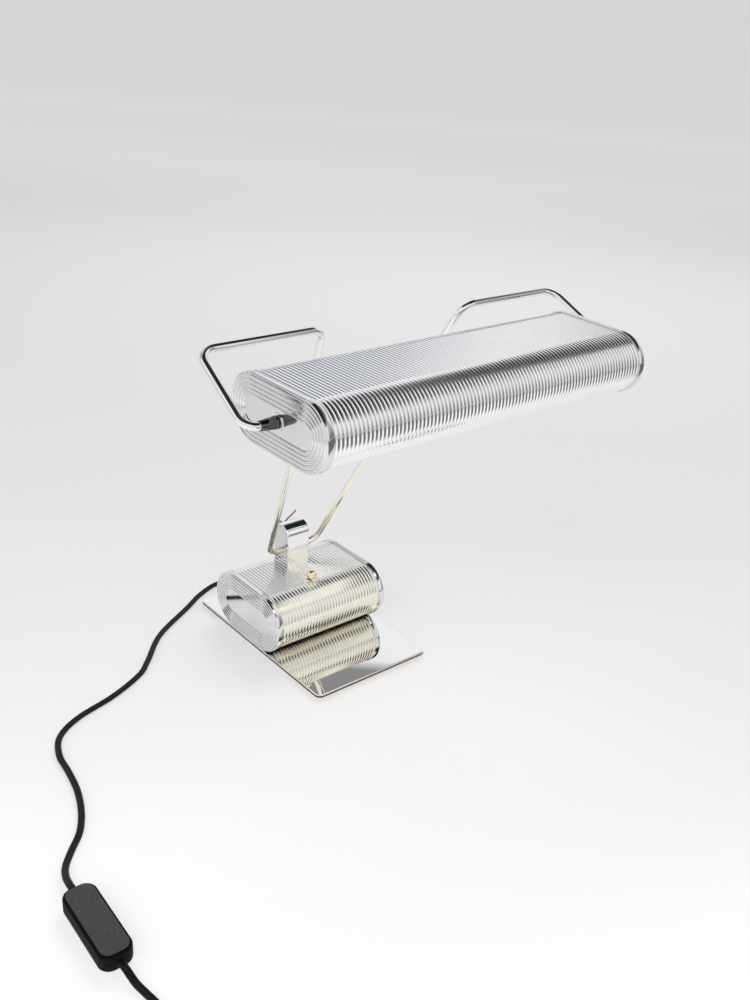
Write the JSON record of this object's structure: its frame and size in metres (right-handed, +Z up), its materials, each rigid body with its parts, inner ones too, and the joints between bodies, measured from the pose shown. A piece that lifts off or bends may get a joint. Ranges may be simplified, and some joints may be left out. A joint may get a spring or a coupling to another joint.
{
  "type": "table lamp",
  "caption": "Cantilever table lamp: ribbed chrome shade on a bent tube frame that tilts in a strap on a ribbed, weighted base.",
  "frame": {"origin": "on the table, under the plate, on the middle plane of the casings, 4 mm in front of the plate's middle", "axes": "+Z up, +X to the right along the shade, -Y towards the shade's side, the front"},
  "size_m": [0.5621, 0.6226, 0.3587],
  "materials": {
    "felt": "felt",
    "plate_chrome": "mirror polish",
    "screw_steel": "satin",
    "ribbed_chrome": "polished ribs",
    "cap_chrome": "polished",
    "weight_iron": "as cast",
    "strap_chrome": "polished",
    "block_aluminium": "satin",
    "tube_chrome": "polished",
    "switch_plastic": "moulded",
    "ball_brass": "polished, bright",
    "holder_plastic": "moulded",
    "cord_black": "smooth",
    "reflector_white": "satin white",
    "lamp_glass": "opal",
    "box_plastic": "fine grain"
  },
  "bodies": {
    "base": {"foot_felt": "felt", "base_plate": "plate_chrome", "plate_screws": "screw_steel", "base_shell": "ribbed_chrome", "base_cap_left": "cap_chrome", "base_cap_right": "cap_chrome", "base_weight": "weight_iron", "strap": "strap_chrome", "strap_screws": "screw_steel", "hinge_block": "block_aluminium", "clamp_nut": "screw_steel", "clamp_washer": "screw_steel", "switch_body": "switch_plastic", "switch_nut": "tube_chrome", "terminal_block": "holder_plastic", "cord_gland": "cord_black", "cord_run": "cord_black", "box_lower": "box_plastic", "box_upper": "box_plastic", "box_screws": "screw_steel", "box_core": "holder_plastic", "cord_lead": "cord_black", "cord_coil": "cord_black", "cord_tail": "cord_black", "plug_body": "box_plastic", "plug_pins": "screw_steel"},
    "frame": {"hinge_bar": "tube_chrome", "frame_tube_left": "tube_chrome", "frame_tube_right": "tube_chrome", "pivot_pins": "tube_chrome", "pivot_rings": "screw_steel"},
    "shade": {"shade_shell": "ribbed_chrome", "shade_cap_left": "cap_chrome", "shade_cap_right": "cap_chrome", "lampholder_left": "holder_plastic", "lampholder_right": "holder_plastic", "lamp_glass": "lamp_glass", "lamp_caps": "screw_steel", "pivot_bushes": "screw_steel", "reflector": "reflector_white", "holder_screws": "screw_steel"},
    "clamp": {"clamp_screw": "screw_steel", "clamp_lever": "tube_chrome"},
    "switch": {"switch_lever": "ball_brass"}
  },
  "joints": [
    {"name": "frame_tilt", "type": "hinge", "parent": "base", "child": "frame", "pos_m": [0, 0.0404, 0.07965], "axis": [1, 0, 0], "range_deg": [-35, 35]},
    {"name": "shade_tilt", "type": "hinge", "parent": "frame", "child": "shade", "pos_m": [0, -0.16518, 0.32095], "axis": [1, 0, 0], "range_deg": [-60, 60]},
    {"name": "clamp_turn", "type": "hinge", "parent": "base", "child": "clamp", "pos_m": [0, 0.0576, 0.09775], "axis": [0, 1, 0], "range_deg": [0, 180]},
    {"name": "switch_toggle", "type": "hinge", "parent": "base", "child": "switch", "pos_m": [-0.007, -0.0015, 0.06195], "axis": [1, 0, 0], "range_deg": [-34, 0]}
  ]
}
